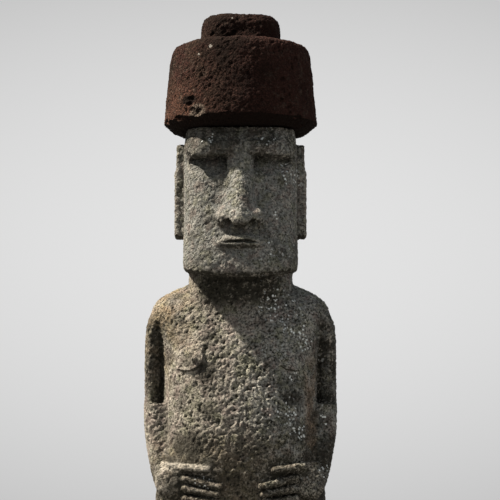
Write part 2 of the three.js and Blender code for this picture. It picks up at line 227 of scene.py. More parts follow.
# the distance to a whole stone, sampled on a grid, to which forms are added and from which they are cut
class StoneField:
    def __init__(self, low, high, cell):
        margin = 4 * cell
        self.cell = cell
        self.axes = [
            np.arange(a - margin, b + margin, cell, dtype=np.float32) for a, b in zip(low, high)
        ]
        self.value = np.full([len(axis) for axis in self.axes], farAway, dtype=np.float32)

    def near(self, form, blend):
        distance, low, high = form
        margin = 2 * blend + 2 * self.cell
        spans = tuple(
            slice(*np.searchsorted(axis, (a - margin, b + margin)))
            for axis, a, b in zip(self.axes, low, high)
        )
        x, y, z = (axis[span] for axis, span in zip(self.axes, spans))
        return spans, distance(x[:, None, None], y[None, :, None], z[None, None, :])

    def add(self, form, blend=0.02):
        spans, new = self.near(form, blend)
        old = self.value[spans]
        meeting = np.maximum(blend - np.abs(old - new), 0)
        self.value[spans] = np.minimum(old, new) - meeting ** 2 / (4 * blend)

    def cut(self, form, blend=0.02):
        spans, new = self.near(form, blend)
        old = self.value[spans]
        meeting = np.maximum(blend - np.abs(old + new), 0)
        self.value[spans] = np.maximum(old, -new) + meeting ** 2 / (4 * blend)

    # how much stone there is around each grid point: a half on a flat surface, more in a hollow
    def crowding(self, reach):
        stone = np.clip(0.5 - self.value / self.cell, 0, 1)
        wide = int(round(reach / self.cell))
        for axis in range(3):
            padding = [(wide + 1, wide) if i == axis else (0, 0) for i in range(3)]
            sums = np.cumsum(np.pad(stone, padding, mode="edge"), axis=axis, dtype=np.float32)
            after = np.take(sums, range(2 * wide + 1, sums.shape[axis]), axis=axis)
            before = np.take(sums, range(0, sums.shape[axis] - 2 * wide - 1), axis=axis)
            stone = (after - before) / (2 * wide + 1)
        return stone

    # the surface as a mesh object of quads, lifted to where the stone stands
    def toObject(self, name, lift, finish=None):
        grid = openvdb.FloatGrid(farAway)
        grid.copyFromArray(self.value)
        points, quads = grid.convertToQuads(0.0)
        nearest = tuple(np.rint(points).astype(int).T)
        hollow = sum(self.crowding(reach)[nearest] for reach in hollowReaches) / len(hollowReaches)
        points = points * self.cell + [axis[0] for axis in self.axes]
        mesh = bpy.data.meshes.new(name)
        mesh.from_pydata((points + [0, 0, lift]).tolist(), [], quads.tolist())
        mesh.update()
        keep(mesh, "hollow", hollow)
        keep(mesh, "finish", finish(*points.T) if finish else np.zeros(len(points)))
        if signedVolume(mesh) < 0:
            mesh.flip_normals()
        piece = bpy.data.objects.new(name, mesh)
        bpy.context.scene.collection.objects.link(piece)
        return piece


def keep(mesh, name, values):
    attribute = mesh.attributes.new(name, "FLOAT", "POINT")
    attribute.data.foreach_set("value", values.astype(np.float32))


def smooth(value, low, high):
    t = np.clip((value - low) / (high - low), 0, 1)
    return t * t * (3 - 2 * t)


def coordinatesOf(mesh):
    flat = np.empty(len(mesh.vertices) * 3, dtype=np.float32)
    mesh.vertices.foreach_get("co", flat)
    return flat.reshape(-1, 3)


def signedVolume(mesh):
    mesh.calc_loop_triangles()
    corners = np.empty(len(mesh.loop_triangles) * 3, dtype=np.int32)
    mesh.loop_triangles.foreach_get("vertices", corners)
    a, b, c = coordinatesOf(mesh)[corners.reshape(-1, 3)].astype(np.float64).transpose(1, 0, 2)
    return np.einsum("ij,ij->i", a, np.cross(b, c)).sum() / 6


figure = dict(
    height=4.08,
    headHeight=1.525,
    aside=0.97, front=-0.78, back=0.44,      # the space that it is carved in
    cell=0.0105,
    triangles=192000,
    wear=dict(                               # the inputs of the weathering tree
        Swell=0.014, Lump_Height=0.016, Lump_Scale=27.0, Pit_Depth=0.017, Pit_Scale=30.0, Pit_Share=0.28,
        Fine_Share=0.55, Seed=4.0,
    ),
)
# how far each join is rounded off
joins = dict(
    neck=0.050, head=0.035, eyeSocket=0.030, nose=0.040, brow=0.045, wing=0.050, nostril=0.012,
    lips=0.030, lipSlit=0.010, jawChip=0.006, ear=0.020, earChannel=0.015, upperArm=0.030,
    forearm=0.050, breast=0.018, nipple=0.020, handBack=0.040, thumb=0.012, finger=0.010, spine=0.040,
)
# the moai type's mask, on plain shares of the head: forehead a sixth, nose a half, mouth and chin a third
face = dict(
    chin=figure["height"] - figure["headHeight"],
    brow=figure["height"] - figure["headHeight"] / 6,
    noseBase=figure["height"] - figure["headHeight"] * 2 / 3,
    mouth=figure["height"] - figure["headHeight"] * 0.77,
    eyes=figure["height"] - figure["headHeight"] * 0.24,
)

# height, half width, front, back
torso = dict(
    centreY=0.150,
    frontSquareness=2.8,
    backSquareness=3.6,
    rows=[
        (0.000, 0.850, -0.470, 0.400),
        (0.300, 0.850, -0.530, 0.405),
        (0.480, 0.842, -0.560, 0.408),
        (0.700, 0.805, -0.588, 0.410),
        (0.900, 0.788, -0.598, 0.410),
        (1.200, 0.776, -0.578, 0.412),
        (1.500, 0.776, -0.540, 0.416),
        (1.800, 0.790, -0.490, 0.422),
        (2.050, 0.845, -0.435, 0.425),
        (2.200, 0.886, -0.385, 0.425),
        (2.320, 0.886, -0.325, 0.415),
        (2.420, 0.810, -0.235, 0.392),
        (2.505, 0.660, -0.120, 0.355),
        (2.570, 0.500, -0.020, 0.300),
    ],
)
neck = dict(
    centreY=0.020,
    frontSquareness=3.0,
    backSquareness=2.8,
    rows=[
        (2.150, 0.480, -0.350, 0.290),
        (2.350, 0.505, -0.385, 0.310),
        (2.480, 0.522, -0.395, 0.322),
        (2.580, 0.522, -0.390, 0.325),
        (2.760, 0.515, -0.360, 0.325),
    ],
)
head = dict(
    centreY=-0.060,
    frontSquareness=4.2,
    backSquareness=4.2,
    rows=[
        (face["chin"], 0.552, -0.642, 0.366),
        (face["chin"] + 0.030, 0.568, -0.658, 0.378),
        (face["chin"] + 0.110, 0.574, -0.664, 0.382),
        (face["chin"] + 0.240, 0.573, -0.648, 0.388),
        (face["mouth"], 0.571, -0.622, 0.390),
        (face["noseBase"], 0.568, -0.588, 0.390),
        (face["noseBase"] + 0.240, 0.568, -0.548, 0.392),
        (face["brow"] - 0.250, 0.570, -0.515, 0.392),
        (face["brow"] - 0.090, 0.570, -0.500, 0.392),
        (face["brow"] - 0.030, 0.570, -0.508, 0.392),
        (face["brow"] + 0.010, 0.570, -0.560, 0.392),
        (face["brow"] + 0.075, 0.568, -0.562, 0.390),
        (face["brow"] + 0.150, 0.560, -0.515, 0.385),
        (figure["height"], 0.545, -0.480, 0.375),
    ],
)

# how much higher the head's lower edge is at the jaw's corners and at the nape than at the chin
jaw = dict(cornerRise=0.085, napeRise=0.130, widestRow=2)

elbow = 1.345
# height, middle X, middle Y, half width, half depth
upperArm = dict(
    squareness=2.3,
    lean=0.45,
    rows=[
        (elbow - 0.060, 0.844, 0.110, 0.118, 0.175),
        (elbow + 0.250, 0.846, 0.110, 0.118, 0.185),
        (1.850, 0.844, 0.095, 0.118, 0.200),
        (2.020, 0.838, 0.075, 0.120, 0.215),
        (2.160, 0.812, 0.065, 0.128, 0.215),
        (2.300, 0.745, 0.080, 0.130, 0.180),
    ],
)
forearm = dict(
    squareness=2.8,
    rows=[
        (0.415, 0.700, -0.220, 0.062, 0.105),
        (0.485, 0.722, -0.215, 0.094, 0.160),
        (0.620, 0.752, -0.160, 0.118, 0.205),
        (0.840, 0.780, -0.075, 0.140, 0.215),
        (1.100, 0.804, -0.020, 0.154, 0.210),
        (elbow, 0.808, -0.005, 0.154, 0.205),
    ],
)
hand = dict(
    fingers=4,
    knuckle=(0.540, 0.596), knuckleDrop=0.098, knuckleRadius=0.043, knuckleLift=0.044,
    tip=(0.200, 0.516), tipDrop=0.075, tipRadius=0.036, tipLift=0.030, tipShorter=0.020,
    back=(0.650, 0.570), backRadii=(0.185, 0.085, 0.190), backLift=0.050,
    # the thumb's root, joint and tip: X, height, lift and radius
    thumb=[(0.745, 0.720, 0.175, 0.050), (0.540, 0.700, 0.050, 0.044), (0.330, 0.676, 0.018, 0.038)],
)
# a breast is an oval pad; its face stands out most at the ridge, near its lower inner edge
breast = dict(
    x=0.525, z=1.800, halfWidth=0.160, above=0.330, below=0.150, squareness=2.2,
    ridgeX=0.440, ridgeZ=1.700, lift=0.032, fadeAside=0.300, fadeUp=0.260,
    fromY=-0.70, toY=-0.30,
)
nipple = dict(x=0.455, z=1.765, lift=0.009, radius=0.028)
spine = dict(y=0.449, fromZ=0.700, toZ=2.250, radius=0.060)

nose = dict(
    squareness=1.6,
    rows=[
        (face["noseBase"], 0.0, -0.550, 0.190, 0.195),
        (face["noseBase"] + 0.050, 0.0, -0.550, 0.205, 0.215),
        (face["noseBase"] + 0.160, 0.0, -0.545, 0.190, 0.190),
        (face["noseBase"] + 0.360, 0.0, -0.520, 0.160, 0.145),
        (face["noseBase"] + 0.560, 0.0, -0.490, 0.135, 0.105),
        (face["brow"] - 0.010, 0.0, -0.480, 0.140, 0.085),
    ],
)
wing = dict(x=0.148, y=-0.575, rise=0.092, radii=(0.100, 0.125, 0.098))
nostril = dict(x=0.112, y=-0.655, rise=0.0, radii=(0.058, 0.070, 0.074))
eyeSocket = dict(halfWidth=0.205, halfHeight=0.125, floorY=-0.395, slope=0.62)
eyeX = 0.298
browBar = dict(fromX=0.070, toX=0.450, y=-0.508, rise=0.014, drop=0.030, radius=0.046)
# chips off the jaw's lower edge: X, half length, and how far up they reach
jawChips = [
    (-0.470, 0.090, 0.030),
    (-0.300, 0.070, 0.018),
    (-0.130, 0.110, 0.026),
    (0.060, 0.080, 0.016),
    (0.270, 0.100, 0.022),
    (0.460, 0.080, 0.026),
]
jawChip = dict(inset=0.010, depth=0.070, halfHeight=0.040, grit=(0.022, 24, 5))
lips = dict(y=-0.590, radii=(0.270, 0.112, 0.080), droop=0.030)
lipSlit = dict(y=-0.715, radii=(0.285, 0.075, 0.012))
ear = dict(
    fromX=0.540, lobeX=0.666, helixX=0.648, centreY=0.020, halfDepth=0.135, rim=0.038, hollow=0.026,
    bottom=face["noseBase"] - 0.050,
    step=face["brow"] - 0.130,
    top=face["brow"] + 0.140,
)
# the long lobe, then the upper part, which stands out less: outer X, half depth, bottom, top, corner, edge
earPlates = [
    (ear["lobeX"], ear["halfDepth"] - 0.012, ear["bottom"], ear["step"], 0.045, 0.030),
    (ear["helixX"], ear["halfDepth"], ear["step"] - 0.060, ear["top"], 0.060, 0.018),
]
# the channel inside the rim of each: outer X of its plate, half depth, bottom, top, corner
earChannels = [
    (ear["lobeX"], (ear["halfDepth"] - ear["rim"]) * 0.55, ear["bottom"] + 0.090, ear["step"] - 0.030, 0.040),
    (ear["helixX"], ear["halfDepth"] - ear["rim"], ear["step"] + 0.045, ear["top"] - ear["rim"], 0.050),
]
fineness = dict(breasts=0.65, ears=0.80)     # the face and the hands are 1, and the body is 0


# Y of the torso's front at places seen from the front
def torsoFront(x, z):
    halfWidth, front, _ = rowsAt(torso["rows"], z)
    share = np.minimum(1.0, np.abs(x) / halfWidth) ** torso["frontSquareness"]
    return torso["centreY"] - (torso["centreY"] - front) * (1 - share) ** (1 / torso["frontSquareness"])


# the head's lower edge climbs from the chin; the climb dies out at the nose's base
def jawRise(x, y, z):
    fade = np.clip((face["noseBase"] - z) / (face["noseBase"] - face["chin"]), 0, 1)
    _, widest, front, back = head["rows"][jaw["widestRow"]]
    toNape = (y - front) / (back - front)
    return (jaw["cornerRise"] * (x / widest) ** 2 + jaw["napeRise"] * toNape) * fade


def addHead(field):
    field.add(bodyColumn(rise=jawRise, **head), joins["head"])
    for side in (-1, 1):
        field.cut(recess(side * eyeX, face["eyes"], **eyeSocket), joins["eyeSocket"])
    field.add(limbColumn(**nose), joins["nose"])
    for side in (-1, 1):
        inner = (side * browBar["fromX"], browBar["y"], face["brow"])
        outer = (side * browBar["toX"], browBar["y"] + browBar["rise"], face["brow"] - browBar["drop"])
        field.add(bar(inner, outer, browBar["radius"], browBar["radius"]), joins["brow"])
    for side in (-1, 1):
        middle = (side * wing["x"], wing["y"], face["noseBase"] + wing["rise"])
        field.add(egg(middle, wing["radii"]), joins["wing"])
    for side in (-1, 1):
        middle = (side * nostril["x"], nostril["y"], face["noseBase"] + nostril["rise"])
        field.cut(egg(middle, nostril["radii"]), joins["nostril"])
    field.add(egg((0, lips["y"], face["mouth"]), lips["radii"], lips["droop"]), joins["lips"])
    field.cut(egg((0, lipSlit["y"], face["mouth"]), lipSlit["radii"], lips["droop"]), joins["lipSlit"])
    front = head["rows"][jaw["widestRow"]][2]
    for x, halfLength, reach in jawChips:
        edge = face["chin"] + float(jawRise(x, front, face["chin"]))
        middle = (x, front - jawChip["inset"], edge - jawChip["halfHeight"] + reach)
        chip = egg(middle, (halfLength, jawChip["depth"], jawChip["halfHeight"]))
        field.cut(roughened(chip, *jawChip["grit"]), joins["jawChip"])


def addEar(field, side):
    for outX, halfDepth, bottom, top, corner, edge in earPlates:
        field.add(plate(side * ear["fromX"], side * outX, ear["centreY"], halfDepth, bottom, top,
                        corner, edge), joins["ear"])
    for outX, halfDepth, bottom, top, corner in earChannels:
        field.cut(plate(side * (outX - ear["hollow"]), side * (outX + ear["rim"]), ear["centreY"],
                        halfDepth, bottom, top, corner), joins["earChannel"])


def addHand(field, side):
    h = hand

    def onBelly(x, z, lift):
        return side * x, float(torsoFront(x, z)) - lift, z

    field.add(egg(onBelly(*h["back"], h["backLift"]), h["backRadii"]), joins["handBack"])
    for start, end in zip(h["thumb"], h["thumb"][1:]):
        field.add(bar(onBelly(*start[:3]), onBelly(*end[:3]), start[3], end[3]), joins["thumb"])
    for i in range(h["fingers"]):
        knuckle = onBelly(h["knuckle"][0], h["knuckle"][1] - h["knuckleDrop"] * i, h["knuckleLift"])
        tip = onBelly(h["tip"][0] + h["tipShorter"] * i, h["tip"][1] - h["tipDrop"] * i, h["tipLift"])
        field.add(bar(knuckle, tip, h["knuckleRadius"], h["tipRadius"]), joins["finger"])


def breastFace(outward, z):
    b = breast
    aside = (outward - b["ridgeX"]) / b["fadeAside"]
    up = (z - b["ridgeZ"]) / b["fadeUp"]
    return torsoFront(outward, z) - b["lift"] * (1 - aside * aside - up * up)


def addBreast(field, side):
    b, n = breast, nipple
    inner, outer = b["x"] - b["halfWidth"], b["x"] + b["halfWidth"]
    low = (min(side * inner, side * outer), b["fromY"], b["z"] - b["below"])
    high = (max(side * inner, side * outer), b["toY"], b["z"] + b["above"])

    def distance(x, y, z):
        halfHeight = np.where(z > b["z"], b["above"], b["below"])
        around = ovalDistance(side * x - b["x"], z - b["z"], b["halfWidth"], halfHeight, b["squareness"])
        return np.maximum(around, breastFace(side * x, z) - y)

    field.add((distance, low, high), joins["breast"])
    tip = (side * n["x"], float(breastFace(n["x"], n["z"])) - n["lift"], n["z"])
    field.add(egg(tip, (n["radius"],) * 3), joins["nipple"])


# where the stone was finished more finely than the body was
def finelyDressed(x, y, z):
    chin, aside = face["chin"], np.abs(x)
    onFront = smooth(y, -0.25, -0.35)
    onFace = smooth(z, chin - 0.05, chin + 0.15) * smooth(y, 0.05, -0.30)
    onHands = onFront * smooth(z, 0.88, 0.80) * smooth(z, 0.22, 0.34) * smooth(aside, 0.12, 0.22)
    away = lengthOf((aside - breast["x"]) / breast["halfWidth"], (z - breast["z"] - 0.05) / 0.26)
    onBreasts = fineness["breasts"] * smooth(away, 1.3, 0.8) * onFront
    onEars = smooth(aside, 0.575, 0.590) * smooth(z, ear["bottom"] - 0.03, ear["bottom"])
    return np.maximum.reduce([onFace, onHands, onBreasts, onEars * fineness["ears"]])


def buildFigure(lift):
    low = (-figure["aside"], figure["front"], 0)
    high = (figure["aside"], figure["back"], figure["height"])
    field = StoneField(low, high, figure["cell"])
    field.add(bodyColumn(**torso))
    field.add(bodyColumn(**neck), joins["neck"])
    addHead(field)
    for side in (-1, 1):
        addEar(field, side)
        field.add(limbColumn(side=side, **upperArm), joins["upperArm"])
        field.add(limbColumn(side=side, **forearm), joins["forearm"])
        addBreast(field, side)
        addHand(field, side)
    bottom, top = (0, spine["y"], spine["fromZ"]), (0, spine["y"], spine["toZ"])
    field.cut(bar(bottom, top, spine["radius"], spine["radius"]), joins["spine"])
    return field.toObject("moai_stone", lift, finelyDressed)


topknot = dict(
    drumHeight=0.885,
    knobHeight=0.285,
    depthShare=0.95,
    knobSquareness=3.4,
    centreY=-0.045,
    aside=0.80, front=-0.80, back=0.72,      # the space that it is carved in
    cell=0.0100,
    triangles=160000,
    drumGrit=(0.006, 9, 1),                  # height, lumps to a metre and seed
    knobGrit=(0.010, 8, 2),
    drumJoin=0.004, knobJoin=0.030,
    wear=dict(
        Swell=0.020, Lump_Height=0.012, Lump_Scale=28.0, Pit_Depth=0.014, Pit_Scale=18.0, Pit_Share=0.15,
        Seed=4.0,
    ),
)
# height, radius
underRows = [
    (0.000, 0.672),
    (0.085, 0.775),
]
drumRows = [
    (0.080, 0.776),
    (0.400, 0.748),
    (0.720, 0.712),
    (0.815, 0.692),
    (0.865, 0.655),
    (topknot["drumHeight"], 0.605),
]
knobRows = [
    (topknot["drumHeight"] - 0.020, 0.406),
    (topknot["drumHeight"] + 0.190, 0.398),
    (topknot["drumHeight"] + 0.240, 0.380),
    (topknot["drumHeight"] + topknot["knobHeight"], 0.335),
]
# old breaks in the topknot's lower rim: degrees round from the front, height, radius, depth, half height
rimBreaks = [
    (-41, 0.245, 0.080, 0.045, 0.048),
    (-34, 0.118, 0.170, 0.028, 0.094),
    (-52, 0.075, 0.130, 0.034, 0.040),
    (-76, 0.085, 0.120, 0.030, 0.050),
    (-104, 0.080, 0.120, 0.030, 0.040),
    (-10, 0.075, 0.100, 0.016, 0.024),
    (16, 0.075, 0.120, 0.020, 0.022),
    (34, 0.225, 0.060, 0.022, 0.032),
    (47, 0.075, 0.120, 0.026, 0.036),
    (78, 0.080, 0.110, 0.024, 0.034),
    (150, 0.080, 0.160, 0.036, 0.050),
    (215, 0.080, 0.120, 0.026, 0.036),
]
# their roughness grows with their depth
breakEdge = dict(gritHeight=0.010, gritShare=0.25, gritScale=21, gritSeed=3, join=0.008)


def roundColumn(rows, squareness=2.0):
    widest = max(row[1] for row in rows)
    low = (-widest, topknot["centreY"] - widest, rows[0][0])
    high = (widest, topknot["centreY"] + widest, rows[-1][0])

    def distance(x, y, z):
        radius, = rowsAt(rows, z)
        around = ovalDistance(x, y - topknot["centreY"], radius, radius * topknot["depthShare"], squareness)
        return np.maximum(around, np.maximum(rows[0][0] - z, z - rows[-1][0]))

    return distance, low, high


# the same form with a rough surface
def roughened(form, height, scale, seed):
    distance, low, high = form
    return lambda x, y, z: distance(x, y, z) + height * grit(x, y, z, scale, seed), low, high


def buildTopknot(lift):
    low = (-topknot["aside"], topknot["front"], 0)
    high = (topknot["aside"], topknot["back"], topknot["drumHeight"] + topknot["knobHeight"])
    field = StoneField(low, high, topknot["cell"])
    for rows in (underRows, drumRows):
        field.add(roughened(roundColumn(rows), *topknot["drumGrit"]), topknot["drumJoin"])
    knob = roundColumn(knobRows, topknot["knobSquareness"])
    field.add(roughened(knob, *topknot["knobGrit"]), topknot["knobJoin"])
    for degrees, z, radius, depth, halfHeight in rimBreaks:
        turn = math.radians(degrees)
        out = drumRows[0][1] + radius - depth
        middle = (out * math.sin(turn), topknot["centreY"] - out * topknot["depthShare"] * math.cos(turn), z)
        height = breakEdge["gritHeight"] + breakEdge["gritShare"] * depth
        bowl = egg(middle, (radius, radius, halfHeight))
        field.cut(roughened(bowl, height, breakEdge["gritScale"], breakEdge["gritSeed"]), breakEdge["join"])
    return field.toObject("topknot_stone", lift)


slab = dict(
    inset=0.985, squareness=7, corner=0.03,
    waves=[(3, 0.018, 1), (7, 0.012, 2)],    # how many go round the outline, their share and their start
    cell=0.012,
    triangles=60000,
    wear=dict(
        Swell=0.010, Lump_Height=0.010, Lump_Scale=12.0, Pit_Depth=0.012, Pit_Scale=8.0, Pit_Share=0.25,
        Seed=7.0,
    ),
)


def buildSlab(lift):
    low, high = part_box("base_slab")
    high = (high[0], high[1], high[2] - low[2])
    low = (low[0], low[1], 0)
    field = StoneField(low, high, slab["cell"])
    corner = slab["corner"]

    def distance(x, y, z):
        turn = np.arctan2(y / high[1], x / high[0])
        wear = 1 + sum(share * np.sin(count * turn + start) for count, share, start in slab["waves"])
        halfWidth, halfDepth = (half * slab["inset"] * wear for half in high[:2])
        around = ovalDistance(x, y, halfWidth, halfDepth, slab["squareness"])
        upright = np.abs(z - high[2] / 2) - high[2] / 2
        outside = lengthOf(np.maximum(around + corner, 0), np.maximum(upright + corner, 0))
        return outside - corner + np.minimum(np.maximum(around, upright) + corner, 0)

    field.add((distance, low, high))
    return field.toObject("slab_stone", lift)


# a socket with arithmetic: each operation on it adds a node of its own
class Wire:
    def __init__(self, tree, socket=None):
        self.tree = tree
        self.socket = socket

    # any node: its type, its settings, then the values or links of its sockets by name or number
    def node(self, kind, settings=None, output=0, **sockets):
        made = self.tree.nodes.new(kind)
        for name, value in (settings or {}).items():
            setattr(made, name, value)
        for name, value in sockets.items():
            key = int(name[2:]) if name.startswith("in") and name[2:].isdigit() else name.replace("_", " ")
            self.link(made.inputs[key], value)
        return Wire(self.tree, made.outputs[output] if made.outputs else None)

    def link(self, target, value):
        if isinstance(value, Wire):
            self.tree.links.new(value.socket, target)
        else:
            target.default_value = value

    def maths(self, operation, *values):
        sockets = {f"in{i}": value for i, value in enumerate(values)}
        return self.node("ShaderNodeMath", dict(operation=operation), **sockets)

    def __add__(self, other):
        return self.maths("ADD", self, other)

    def __sub__(self, other):
        return self.maths("SUBTRACT", self, other)

    def __rsub__(self, other):
        return self.maths("SUBTRACT", other, self)

    def __mul__(self, other):
        return self.maths("MULTIPLY", self, other)

    def __truediv__(self, other):
        return self.maths("DIVIDE", self, other)

    def __abs__(self):
        return self.maths("ABSOLUTE", self)

    __radd__ = __add__
    __rmul__ = __mul__

    def larger(self, other):
        return self.maths("MAXIMUM", self, other)

    # 0 below low, 1 above high, and smooth between; low may be above high
    def step(self, low, high):
        return self.node("ShaderNodeMapRange", dict(interpolation_type="SMOOTHSTEP"),
                         in0=self, in1=low, in2=high, in3=0.0, in4=1.0)

    # from here on the wire carries a vector
    def vector(self, operation, *values, output=0, **sockets):
        sockets.update({f"in{i}": value for i, value in enumerate(values)})
        return self.node("ShaderNodeVectorMath", dict(operation=operation), output, **sockets)

    def moved(self, other):
        return self.vector("ADD", self, other)

    def stretched(self, factors):
        return self.vector("MULTIPLY", self, factors)

    def span(self):
        return self.vector("LENGTH", self, output="Value")

    def dot(self, direction):
        return self.vector("DOT_PRODUCT", self, direction, output="Value")

    def parts(self):
        return [self.node("ShaderNodeSeparateXYZ", output=axis, Vector=self) for axis in "XYZ"]

    def noise(self, scale, detail=4.0, roughness=0.55):
        return self.node("ShaderNodeTexNoise", output="Fac", Vector=self, Scale=scale, Detail=detail,
                         Roughness=roughness)

    # a vector that points anywhere, up to about half the reach long
    def drift(self, scale, detail, reach):
        wild = self.node("ShaderNodeTexNoise", output="Color", Vector=self, Scale=scale, Detail=detail)
        return wild.vector("SUBTRACT", wild, (0.5, 0.5, 0.5)).stretched((reach, reach, reach))

    def cells(self, scale):
        return self.node("ShaderNodeTexVoronoi", output="Distance", Vector=self, Scale=scale)

    # cells with straight sides and sharp corners
    def blocks(self, scale):
        return self.node("ShaderNodeTexVoronoi", dict(distance="CHEBYCHEV"), output="Distance",
                         Vector=self, Scale=scale)


# the stone's relief is drawn out along a slant, where its coordinates are squeezed, and wanders a little
relief = dict(slant=(math.sqrt(0.5), 0.0, math.sqrt(0.5)), squeeze=-0.34, wander=0.060)


def slanted(place, wanderScale, detail):
    along = place.dot(relief["slant"]) * relief["squeeze"]
    place = place.moved(place.vector("SCALE", relief["slant"], Scale=along))
    return place.moved(place.drift(wanderScale, detail, relief["wander"]))


# A Geometry Nodes tree that wears a carved stone: slow swells, knobs and the pits between them, all set
# in along the normal. What it takes off is kept on the mesh as "worn", for the painted shade in the hollows.
def weatheringTree():
    tree = bpy.data.node_groups.new("weathering", "GeometryNodeTree")
    sockets = tree.interface
    sockets.new_socket("Stone", in_out="INPUT", socket_type="NodeSocketGeometry")
    for name, default in (
        ("Swell", 0.010), ("Lump Height", 0.012), ("Lump Scale", 24.0), ("Pit Depth", 0.018),
        ("Pit Scale", 17.0), ("Pit Share", 0.30), ("Fine Share", 0.4), ("Seed", 1.0),
    ):
        socket = sockets.new_socket(name, in_out="INPUT", socket_type="NodeSocketFloat")
        socket.default_value = default
    sockets.new_socket("Material", in_out="INPUT", socket_type="NodeSocketMaterial")
    sockets.new_socket("Stone", in_out="OUTPUT", socket_type="NodeSocketGeometry")
    entry = tree.nodes.new("NodeGroupInput")
    given = {socket.name: Wire(tree, socket) for socket in entry.outputs if socket.name}
    start = Wire(tree)

    seed = given["Seed"]
    shift = start.node("ShaderNodeCombineXYZ", X=seed, Y=seed * 1.7, Z=seed * 0.6)
    place = start.node("GeometryNodeInputPosition").moved(shift)
    aslant = slanted(place, 15.0, 4.0)

    swell = (place.noise(1.7, 3.0) - 0.5) * given["Swell"]
    crease = aslant.blocks(given["Lump Scale"]).step(0.28, 0.60) * 0.6
    crease = crease + aslant.blocks(given["Lump Scale"] * 1.8).step(0.28, 0.58) * 0.4
    patches = place.noise(3.1, 2.0).step(0.32, 0.58)
    lumpDrop = crease * given["Lump Height"] * (0.4 + 0.6 * patches)
    pit = aslant.cells(given["Pit Scale"]) + (place.noise(45.0, 2.0) - 0.5) * 0.30
    pitHere = place.noise(5.3, 2.0).step(0.62 - given["Pit Share"], 0.72 - given["Pit Share"])
    pitDrop = pit.step(0.34, 0.16) * pitHere * given["Pit Depth"]
    rough = (aslant.noise(38.0, 3.0, 0.7) - 0.5) * 1.5 * given["Lump Height"]

    # where the stone was finished more finely, less of it has worn
    fine = start.node("GeometryNodeInputNamedAttribute", dict(data_type="FLOAT"), Name="finish")
    drop = (lumpDrop + pitDrop - rough) * (1 - fine * (1 - given["Fine Share"]))
    deepest = given["Lump Height"] + given["Pit Depth"]
    marked = start.node("GeometryNodeStoreNamedAttribute", dict(data_type="FLOAT", domain="POINT"),
                        Geometry=given["Stone"], Name="worn", Value=drop / deepest)

    outward = start.node("GeometryNodeInputNormal")
    move = outward.vector("SCALE", outward, Scale=swell - drop)
    worn = start.node("GeometryNodeSetPosition", Geometry=marked, Offset=move)
    real = start.node("GeometryNodeRealizeInstances", Geometry=worn)
    dressed = start.node("GeometryNodeSetMaterial", Geometry=real, Material=given["Material"])
    start.node("NodeGroupOutput", Stone=dressed)
    return tree


# runs the tree and thins the mesh out, then keeps the outcome as a plain mesh inside its CAD box
def weather(piece, tree, material, node, settings):
    piece.data.materials.append(material)
    weathered = piece.modifiers.new("weathering", "NODES")
    weathered.node_group = tree
    identifiers = {
        item.name: item.identifier for item in tree.interface.items_tree
        if item.item_type == "SOCKET" and item.in_out == "INPUT"
    }
    for name, value in settings["wear"].items():
        weathered[identifiers[name.replace("_", " ")]] = value
    weathered[identifiers["Material"]] = material
    thinned = piece.modifiers.new("thinned", "DECIMATE")
    thinned.ratio = min(1.0, settings["triangles"] / (2 * len(piece.data.polygons)))

    graph = bpy.context.evaluated_depsgraph_get()
    mesh = bpy.data.meshes.new_from_object(piece.evaluated_get(graph), depsgraph=graph)
    mesh.name = piece.name
    piece.modifiers.clear()
    piece.data = mesh
    low, high = (np.array(corner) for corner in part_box(node))
    places = np.clip(coordinatesOf(mesh), low, high)
    mesh.vertices.foreach_set("co", places.ravel())
    mesh.shade_smooth()
    mesh.update()
    print(piece.name, "is weathered:", len(mesh.polygons), "faces from", places.min(0), "to", places.max(0))


def newMaterial(name):
    material = bpy.data.materials.new(name)
    material.use_nodes = True
    material.node_tree.nodes.clear()
    return material, Wire(material.node_tree).node("ShaderNodeTexCoord", output="Object")


def mixed(factor, under, over):
    mix = factor.tree.nodes.new("ShaderNodeMix")
    mix.data_type = "RGBA"
    inputs = {socket.identifier: socket for socket in mix.inputs}
    factor.link(inputs["Factor_Float"], factor)
    factor.link(inputs["A_Color"], under)
    factor.link(inputs["B_Color"], over)
    outputs = {socket.identifier: socket for socket in mix.outputs}
    return Wire(factor.tree, outputs["Result_Color"])


def colour(red, green, blue):
    return red, green, blue, 1.0


# how far a place is from a point, or from the line that runs straight back from a point on the front
def fromPoint(place, point):
    return place.moved([-value for value in point])


def fromLine(place, x, z):
    return fromPoint(place.stretched((1.0, 0.0, 1.0)), (x, 0.0, z)).span()


# 0 on faces whose normal's Z is above high, and 1 where it is below low
def lookingDown(place, low, high):
    upward = place.node("ShaderNodeTexCoord", output="Normal").parts()[2]
    return upward.step(high, low)


def finishStone(base, roughness, height, bumpStrength=1.0, bumpDistance=1.0, gloss=0.25):
    bump = base.node("ShaderNodeBump", Strength=bumpStrength, Distance=bumpDistance, Height=height)
    shader = base.node("ShaderNodeBsdfPrincipled", Base_Color=base, Roughness=roughness, Normal=bump,
                       Specular_IOR_Level=gloss)
    base.node("ShaderNodeOutputMaterial", Surface=shader)


tuffLook = dict(
    warm=colour(0.400, 0.358, 0.295),
    pale=colour(0.610, 0.550, 0.460),
    drab=colour(0.285, 0.256, 0.214),
    grey=colour(0.360, 0.370, 0.352),
    ochre=colour(0.330, 0.225, 0.100),
    clay=colour(0.400, 0.270, 0.180),
    olive=colour(0.250, 0.250, 0.155),
    mauve=colour(0.330, 0.255, 0.225),
    umber=colour(0.110, 0.078, 0.040),
    # the darkest tone: real stains, and painted shade in hollows, under the chin and on faces that look down
    darkest=colour(0.030, 0.027, 0.019),
    lichen=colour(0.93, 0.95, 0.92),
    grain=0.024, scales=0.012, pinholes=0.008,      # heights in the bump
)
